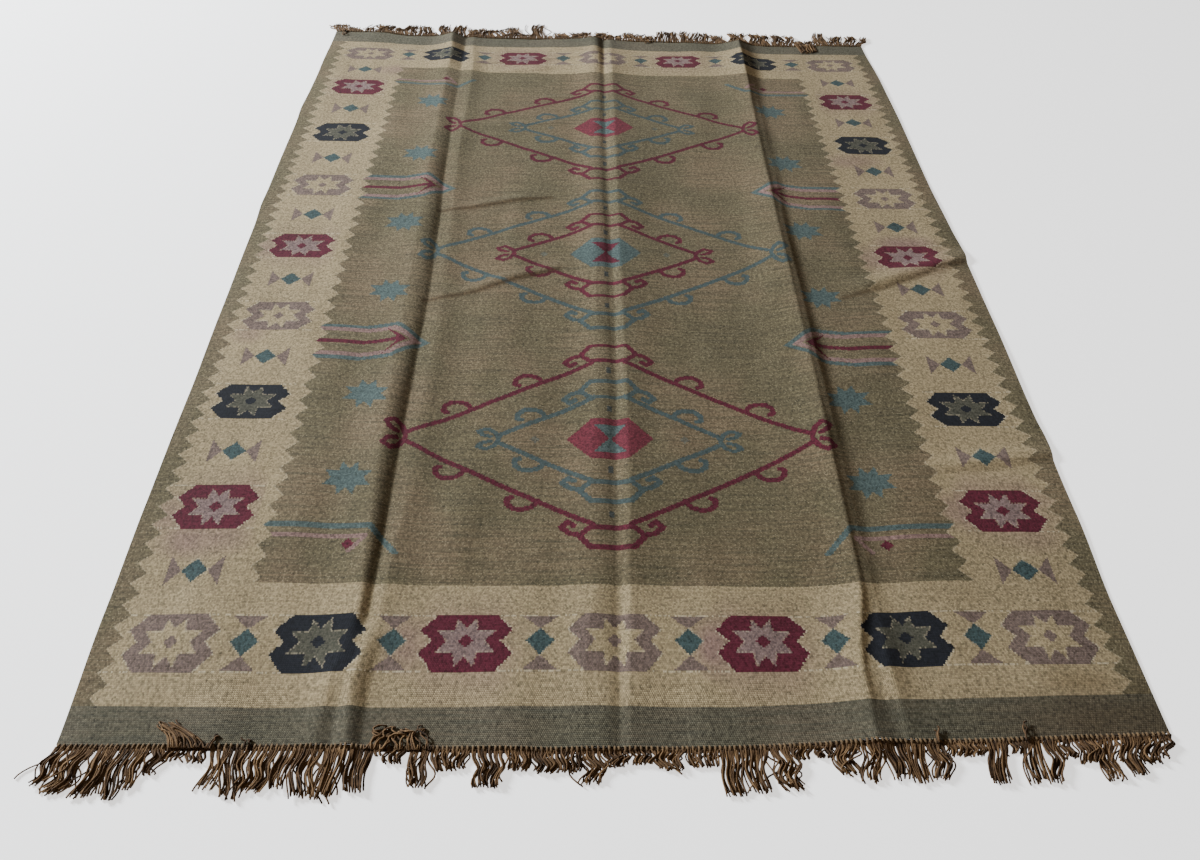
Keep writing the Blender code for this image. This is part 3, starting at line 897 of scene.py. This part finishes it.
def fieldMaterial():
    material, start = newMaterial("field wool")
    w = Weave(start)
    colour = w.khaki()
    for addMotifs in (addMedallions, addArrows, addHalfArrows, addSideStars):
        colour = addMotifs(w, colour)

    # cream border past the saw edge and past the field's ends
    tooth = w.pastSaw("inner")
    isPastEnd = w.absV > pattern["fieldEnd"]
    colour = ((tooth > 0) | isPastEnd).mix(colour, w.bled(w.cream()))
    colour = w.slits(tooth + isPastEnd, colour, field["slits"])
    # painted shade along the wrinkles
    colour = w.shadeWrinkles(colour, field["paintedShade"])
    return w.finished(material, start, colour)


def clothColumns():
    # counted u of every column of the mesh, from left to right
    start = -pattern["halfWidth"]
    columns = [np.array([start])]
    for until, step in cloth["columns"]:
        count = round((until - start) / step)
        columns.append(np.linspace(start, until, count + 1)[1:])
        start = until
    return np.concatenate(columns)


def makeCloth():
    columns = clothColumns()
    bpy.ops.mesh.primitive_grid_add(x_subdivisions=len(columns) - 1,
                                    y_subdivisions=cloth["rows"], size=2.0)
    made = bpy.context.active_object
    made.name = "clothSheet"
    mesh = made.data
    count = len(mesh.vertices)
    places = np.zeros(count * 3)
    mesh.vertices.foreach_get("co", places)
    places = places.reshape(-1, 3)
    u = columns[np.round((places[:, 0] + 1) / 2 * (len(columns) - 1)).astype(int)]
    places[:, 0] = u / pattern["halfWidth"]
    v = places[:, 1] * pattern["halfLength"]
    x, y, nominal = planOf(u, v)
    z = liftAt(x, y, nominal) + cloth["thickness"]
    moved = np.stack([x + middleX, y + middleY, z], 1)
    mesh.vertices.foreach_set("co", moved.ravel())

    # the pattern's own map, from corner to corner of the rug
    layer = mesh.uv_layers[0]
    layer.name = "pattern"
    corners = np.zeros(len(mesh.loops), dtype=np.int32)
    mesh.loops.foreach_get("vertex_index", corners)
    flat = (places[corners, :2] + 1) / 2
    layer.data.foreach_set("uv", flat.ravel())

    for material in (borderMaterial(), fieldMaterial()):
        mesh.materials.append(material)
    middles = flat.reshape(-1, 4, 2).mean(1) * 2 - 1
    fieldEnd = pattern["fieldEnd"] + pattern["fieldLap"]
    inField = ((np.abs(middles[:, 0]) * pattern["halfWidth"] < pattern["fieldSide"])
               & (np.abs(middles[:, 1]) * pattern["halfLength"] < fieldEnd))
    mesh.polygons.foreach_set("material_index", inField.astype(np.int32))
    mesh.polygons.foreach_set("use_smooth", np.ones(len(mesh.polygons), dtype=bool))
    mesh.update()

    thick = made.modifiers.new("thickness", "SOLIDIFY")
    thick.thickness = cloth["thickness"]
    thick.offset = -1.0
    bpy.ops.object.modifier_apply(modifier=thick.name)
    mesh.shade_smooth()
    bpy.ops.object.shade_smooth_by_angle(angle=math.radians(cloth["smoothAngle"]))
    made.select_set(False)
    return made


sheet = makeCloth()
print("cloth woven:", len(sheet.data.polygons), "faces")


# clumps of fringe from left to right, in mm: rows of (up to this x, lean of the tips, reach)
nearClumps = [
    (-975, -30, 78), (-930, -24, 92), (-865, -16, 96), (-838, -10, 88), (-812, -4, 58),
    (-735, 0, 35), (-712, 0, 88), (-672, 0, 106), (-612, -4, 94), (-580, -4, 78), (-490, -3, 98),
    (-446, 2, 95), (-424, 0, 20), (-384, 0, 36), (-345, 0, 82), (-275, 0, 46), (-215, 2, 73),
    (-80, 4, 50), (-42, 4, 68), (55, 0, 36), (110, 0, 49), (168, 0, 40), (304, 2, 93),
    (380, 0, 33), (425, 0, 62), (580, 0, 80), (655, 0, 36), (697, 0, 86), (722, 0, 34),
    (786, -4, 87), (818, -2, 45), (862, -2, 56), (892, -4, 87), (915, -6, 58), (948, -12, 79),
    (988, -22, 66), (1006, -28, 50),
]
farClumps = [
    (-955, -30, 60), (-870, -16, 42), (-790, -4, 68), (-755, 0, 62), (-650, 0, 98), (-620, 0, 36),
    (-520, 2, 105), (-440, 2, 82), (-370, 0, 78), (-310, 2, 105), (-280, 2, 50), (-215, 2, 125),
    (-185, 2, 30), (-80, 4, 62), (10, 2, 72), (75, 0, 55), (125, 0, 75), (200, 2, 60),
    (260, 4, 92), (410, 4, 102), (480, 2, 78), (610, 2, 106), (730, 2, 98), (820, 0, 50),
    (870, 0, 118), (970, 8, 88), (997, 36, 80),
]
# strands thrown back onto the cloth: rows of (end, first and last root, lean, how far onto the
# cloth, strands, sway, how wide the tips stay)
thrown = [
    (-1, -0.805, -0.73, -0.05, 0.044, 26, 0.004, 0.35),
    (-1, -0.475, -0.43, 0.02, 0.03, 12, 0.014, 0.8),
    (-1, -0.41, -0.33, -0.012, 0.034, 12, 0.013, 0.9),
    (-1, -0.738, -0.73, 0.004, 0.018, 2, 0.004, 1.0),
    (-1, -0.675, -0.664, -0.006, 0.012, 2, 0.005, 1.0),
    (-1, 0.566, 0.574, 0.004, 0.026, 2, 0.006, 1.0),
    (-1, 0.728, 0.738, 0.006, 0.03, 2, 0.006, 1.0),
    (1, 0.735, 0.812, 0.008, 0.056, 36, 0.004, 0.9),
    (1, -0.99, -0.975, 0.004, 0.046, 2, 0.01, 1.0),
    (1, 0.17, 0.178, -0.006, 0.02, 2, 0.006, 1.0),
]
yarn = {
    "pitch": 0.0093,  # from one bundle to the next
    "strands": 6,  # yarns in a bundle
    "radius": 0.0018, "radii": (0.9, 1.1), "taper": 0.88,  # a pair is a range of shares
    "points": 12, "sides": 5, "twist": 0.35,
    "tones": (0.1, 0.8), "mostTone": 0.95,
    "neckLength": 0.0085, "neckLengths": (0.8, 1.2), "neckSlant": 0.0028, "leanShare": 0.12,
    "neckRadius": 0.0031, "neckRadii": (0.85, 1.05), "neckShape": (0.6, 1.0, 0.85),
    "neckSides": 6,
    "neckTone": 2.0, "neckTones": 0.6, "neckFrom": 1.5,
    # dark cords that paint the shade in the gaps between the necks
    "shadeCordRadius": 0.0022, "shadeCordPitch": 0.01,
    "shadeCords": (0.0022, 0.0058, 0.0092),  # how far out from the cloth the dark cords of painted shade lie
    "shadeCordsDown": 0.02,  # how far out they would be down on the floor
    "shadeCordSides": 6,
    "tuft": 0.042,  # width of the tufts that a clump falls into
    "tuftReaches": (0.9, 1.02), "tuftTones": (-0.1, 0.1), "tuftSways": (0.4, 1.1),
    "tuftWaves": (0.5, 1.3),
    "gather": 0.8,  # how wide a tuft's tips stay, of its roots
    "spread": 0.003, "spreadReach": 0.05,
    "jitter": 0.0012,
    "sway": 0.0085, "sways": (0.7, 1.3), "swayMost": 0.16, "phaseSpread": 0.45,
    "loopers": 0.06,  # share of the yarns that swing wide
    "looperSway": 2.5, "looperWaves": (0.5, 0.9),
    "reaches": (0.86, 1.03),  # of the clump's reach
    "stack": 0.006,  # how high the yarns lie on one another
    "downAt": 0.5,  # share of its length at which a yarn is down
    "rise": 0.7,  # of the cloth's thickness, at which a neck starts
}
# a yarn that is thrown back, and how far out and up it goes as it turns
thrownYarn = {
    "turnOut": 0.012, "turnHigh": 0.002,
    "radius": 0.9, "tones": (0.1, 0.9),
    "waves": (1.0, 2.0), "reaches": (0.55, 1.05), "sways": (0.3, 1.2), "spread": 0.004,
}


class Tubes:
    # many tubes gathered in one mesh, with a tone for each
    def __init__(self):
        self.places = []
        self.faces = []
        self.tones = []
        self.count = 0

    def add(self, path, radii, sides, tone, twist=0.0):
        path = np.asarray(path, dtype=float)
        along = np.gradient(path, axis=0)
        along /= np.linalg.norm(along, axis=1)[:, None] + 1e-9
        side = np.cross(along, (0.0, 0.0, 1.0))
        length = np.linalg.norm(side, axis=1)[:, None]
        side = np.where(length > 0.05, side / (length + 1e-9), (1.0, 0.0, 0.0))
        up = np.cross(side, along)
        rings = len(path)
        turn = (np.arange(sides) + 0.5) / sides * fullTurn
        turn = turn[None, :] + twist * np.arange(rings)[:, None]
        radii = np.broadcast_to(np.asarray(radii, dtype=float), (rings,))[:, None, None]
        turn = turn[..., None]
        ring = side[:, None, :] * np.cos(turn) + up[:, None, :] * np.sin(turn)
        points = path[:, None, :] + ring * radii
        self.places.append(points.reshape(-1, 3))
        first = self.count
        index = first + np.arange(rings * sides).reshape(rings, sides)
        after = np.roll(index, -1, axis=1)
        walls = np.stack([index[:-1], index[1:], after[1:], after[:-1]], -1).reshape(-1, 4)
        self.faces.extend(walls.tolist())
        self.faces.append(index[0].tolist())
        self.faces.append(index[-1][::-1].tolist())
        self.tones.append(np.full(rings * sides, tone))
        self.count += rings * sides

    def build(self, name, moved):
        mesh = bpy.data.meshes.new(name)
        places = np.concatenate(self.places) + np.array(moved)
        mesh.from_pydata(places.tolist(), [], self.faces)
        tone = mesh.attributes.new("tone", "FLOAT", "POINT")
        tone.data.foreach_set("value", np.concatenate(self.tones).astype(np.float32))
        mesh.polygons.foreach_set("use_smooth", np.ones(len(mesh.polygons), dtype=bool))
        mesh.update()
        return addObject(name, mesh)


def endLine(side):
    # x, y and height of the woven end, from left to right
    u = np.linspace(-pattern["halfWidth"], pattern["halfWidth"], 500)
    x, y, nominal = planOf(u, np.full(u.shape, side * pattern["halfLength"]))
    return x, y, liftAt(x, y, nominal)


def clothTop(x, y, edgeY):
    nominal = outline["reach"] * y / abs(edgeY)
    return float(liftAt(np.array([x]), np.array([y]), np.array([nominal]))[0]) + cloth["thickness"]


def strandPath(root, tip, reach, edgeY, edgeZ, side, wave, draw):
    # one yarn from its neck to its tip, coming down to the floor in the soft waves of its tuft
    share = np.linspace(0, 1, yarn["points"])
    sway, waves, phase = wave
    sway = min(sway * draw.uniform(*yarn["sways"]), reach * yarn["swayMost"])
    phase += draw.gauss(0, yarn["phaseSpread"])
    if draw.random() < yarn["loopers"]:
        sway *= yarn["looperSway"]
        waves = draw.uniform(*yarn["looperWaves"])
        phase = draw.uniform(0, fullTurn)
    turn = phase + waves * fullTurn * share
    x = root + (tip - root) * share ** 1.2
    x = x + sway * (np.sin(turn) - math.sin(phase)) * ease(share * 1.7)
    far = reach * draw.uniform(*yarn["reaches"])
    y = edgeY + side * (far * share + 0.3 * sway * (np.cos(turn) - math.cos(phase)) * share)
    lowest = yarn["radius"] * 1.1
    floorZ = lowest + draw.uniform(0, 1) ** 2 * yarn["stack"]
    z = edgeZ + (floorZ - edgeZ) * ease(share / yarn["downAt"])
    return np.stack([x, y, np.maximum(z, lowest)], 1)


def thrownPath(root, tip, reach, sway, edgeY, side, draw):
    # one yarn that turns back over the edge and lies on the cloth
    share = np.linspace(0, 1, yarn["points"])
    phase = draw.uniform(0, fullTurn)
    turn = phase + draw.uniform(*thrownYarn["waves"]) * fullTurn * share
    x = root + (tip - root) * ease(share) + sway * (np.sin(turn) - math.sin(phase)) * share
    out = thrownYarn["turnOut"] * np.sin(math.pi * np.clip(share / 0.3, 0, 1))
    y = edgeY + side * (out - reach * ease(share * 1.05))
    y = y + 0.4 * sway * (np.cos(turn) - math.cos(phase)) * share
    above = yarn["radius"] * 1.3 + draw.uniform(0, 1) ** 2 * yarn["stack"] * 0.6
    top = np.array([clothTop(px, min(max(py, -abs(edgeY)), abs(edgeY)), edgeY)
                    for px, py in zip(x, y)])
    z = top + above + thrownYarn["turnHigh"] * np.sin(math.pi * np.clip(share / 0.5, 0, 1))
    return np.stack([x, y, z], 1)


def addShadeCords(tubes, edge, side):
    # dark cords under the necks, painted shade for the gaps between them
    edgeX, edgeY, edgeZ = edge
    radius = yarn["shadeCordRadius"]
    for out in yarn["shadeCords"]:
        x = np.arange(edgeX[0] + 0.003, edgeX[-1] - 0.002, yarn["shadeCordPitch"])
        y = np.interp(x, edgeX, edgeY) + side * out
        z = np.interp(x, edgeX, edgeZ) * (1 - out / yarn["shadeCordsDown"])
        tubes.add(np.stack([x, y, np.maximum(z, radius)], 1), radius, yarn["shadeCordSides"], 0.0)


def addBundle(tubes, root, y, z, lean, centre, reach, tuft, side, draw):
    # a knotted neck and the yarns that come out of it
    tuftReach, tuftTone, wave = tuft
    neck = yarn["neckLength"] * draw.uniform(*yarn["neckLengths"])
    bend = yarn["neckSlant"] + lean * yarn["leanShare"]
    bend += draw.uniform(-yarn["jitter"], yarn["jitter"])
    size = yarn["neckRadius"] * draw.uniform(*yarn["neckRadii"])
    lowZ = max(z * 0.8, size) + 0.0008
    path = [(root - bend * 0.5, y - side * 0.0015, max(z, size)),
            (root, y + side * neck * 0.45, max(z, size) + 0.0012),
            (root + bend * 0.5, y + side * neck, lowZ)]
    tubes.add(path, np.array(yarn["neckShape"]) * size, yarn["neckSides"],
              yarn["neckTone"] + draw.uniform(0, yarn["neckTones"]))
    for strand in range(yarn["strands"]):
        offset = (strand + 0.5) / yarn["strands"] - 0.5
        rootX = root + bend * 0.4 + offset * yarn["pitch"] * 0.85
        rootZ = lowZ + 0.001 * (strand % 2) - 0.0004
        tip = centre + lean + (root - centre) * yarn["gather"]
        tip += draw.gauss(0, yarn["spread"]) * min(1.0, reach / yarn["spreadReach"])
        path = strandPath(rootX, tip, tuftReach - neck * 0.6, y + side * neck * 0.6,
                          rootZ, side, wave, draw)
        sizes = yarn["radius"] * np.linspace(1.0, yarn["taper"], len(path))
        sizes = sizes * draw.uniform(*yarn["radii"])
        tone = min(max(draw.uniform(*yarn["tones"]) + tuftTone, 0), yarn["mostTone"])
        tubes.add(path, sizes, yarn["sides"], tone, yarn["twist"])


def addClump(tubes, start, until, lean, reach, edge, side, draw):
    width = until - start
    tufts = max(1, round(width / yarn["tuft"]))
    bundles = max(1, round(width / yarn["pitch"]))
    reaches = [reach * draw.uniform(*yarn["tuftReaches"]) for _ in range(tufts)]
    tones = [draw.uniform(*yarn["tuftTones"]) for _ in range(tufts)]
    waves = [(yarn["sway"] * draw.uniform(*yarn["tuftSways"]), draw.uniform(*yarn["tuftWaves"]),
              draw.uniform(0, fullTurn)) for _ in range(tufts)]
    for number in range(bundles):
        root = start + width * (number + 0.5) / bundles
        root += draw.uniform(-yarn["jitter"], yarn["jitter"])
        tuft = min(tufts - 1, int((root - start) / width * tufts))
        centre = start + width * (tuft + 0.5) / tufts
        y, z = (float(np.interp(root, edge[0], line)) for line in edge[1:])
        addBundle(tubes, root, y, z + cloth["thickness"] * yarn["rise"], lean, centre, reach,
                  (reaches[tuft], tones[tuft], waves[tuft]), side, draw)


def addThrown(tubes, row, edge, side, draw):
    first, last, lean, reach, strands, sway, gather = row
    middle = (first + last) / 2
    for _ in range(strands):
        root = draw.uniform(first, last)
        tip = middle + (root - middle) * gather + lean
        tip += draw.gauss(0, thrownYarn["spread"])
        y = float(np.interp(root, edge[0], edge[1]))
        path = thrownPath(root, tip, reach * draw.uniform(*thrownYarn["reaches"]),
                          sway * draw.uniform(*thrownYarn["sways"]), y, side, draw)
        tubes.add(path, yarn["radius"] * thrownYarn["radius"], yarn["sides"],
                  draw.uniform(*thrownYarn["tones"]), yarn["twist"])


def makeFringe(name, clumps, side, seed):
    draw = random.Random(seed)
    edge = endLine(side)
    tubes = Tubes()
    addShadeCords(tubes, edge, side)
    start, right = edge[0][0], edge[0][-1]
    for row in clumps:
        until, lean, reach = (size / 1000 for size in row)
        until = min(until, right)
        addClump(tubes, start, until, lean, reach, edge, side, draw)
        start = until
    for end, *row in thrown:
        if end == side:
            addThrown(tubes, row, edge, side, draw)

    made = tubes.build(name, (middleX, middleY, 0.0))
    made.data.materials.append(fringeWool)
    print(name, "spun:", len(made.data.polygons), "faces")
    return made


# yarn of the fringe, whose necks have tones of their own
yarnFinish = {
    "patchScale": 60.0, "fuzzScale": 900.0, "roughness": 0.9,
    "patchShade": (0.9, -0.42), "patchNeck": (1.6, -0.3), "toneShade": 0.85,
    "tones": [(0.0, (46, 33, 21)), (0.4, (88, 66, 44)), (0.85, (118, 92, 62)),
              (1.0, (136, 109, 77))],
    "neckTones": ((76, 60, 41), (104, 84, 58)),
    "bump": 0.6, "bumpDepth": 0.0006, "sheen": 0.05,
}


def yarnMaterial():
    material, start = newMaterial("fringe yarn")
    tone = start.node("ShaderNodeAttribute", {"attribute_name": "tone"}, output=2)
    place = start.node("ShaderNodeTexCoord", output=3)
    patch = place.noise(yarnFinish["patchScale"], 2.0, dimensions="3D")
    fuzz = place.noise(yarnFinish["fuzzScale"], 1.0, dimensions="3D")
    stops = [(stop, linear(*colour)) for stop, colour in yarnFinish["tones"]]
    shade = tone.times(yarnFinish["toneShade"], patch.times(*yarnFinish["patchShade"]))
    colour = shade.ramp(stops, "LINEAR")
    necks = [linear(*each) for each in yarnFinish["neckTones"]]
    neck = patch.times(*yarnFinish["patchNeck"]).mix(*necks)
    colour = (tone > yarn["neckFrom"]).mix(colour, neck)
    return finishMaterial(material, start, colour, yarnFinish["roughness"], fuzz, yarnFinish)


fringeWool = yarnMaterial()
nearFringe = makeFringe("nearFringe", nearClumps, -1, 11)
farFringe = makeFringe("farFringe", farClumps, 1, 23)


# stage
def makeFloor():
    bpy.ops.mesh.primitive_plane_add(size=30.0, location=(0, 0, 0))
    floor = bpy.context.active_object
    floor.name = "floor"
    material = newMaterial("floor")[0]
    setInputs(material.node_tree.nodes["Principled BSDF"], {
        "Base Color": (0.93, 0.93, 0.93, 1.0), "Roughness": 0.9,
        "Emission Color": (1.0, 1.0, 1.0, 1.0), "Emission Strength": room["floorGlow"]})
    floor.data.materials.append(material)
    floor.select_set(False)
    return floor


floor = makeFloor()

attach(sheet, "root")
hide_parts("woven_panel")
for fringe, node in ((nearFringe, "fringe_near"), (farFringe, "fringe_far")):
    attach(fringe, "root")
    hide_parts(node)
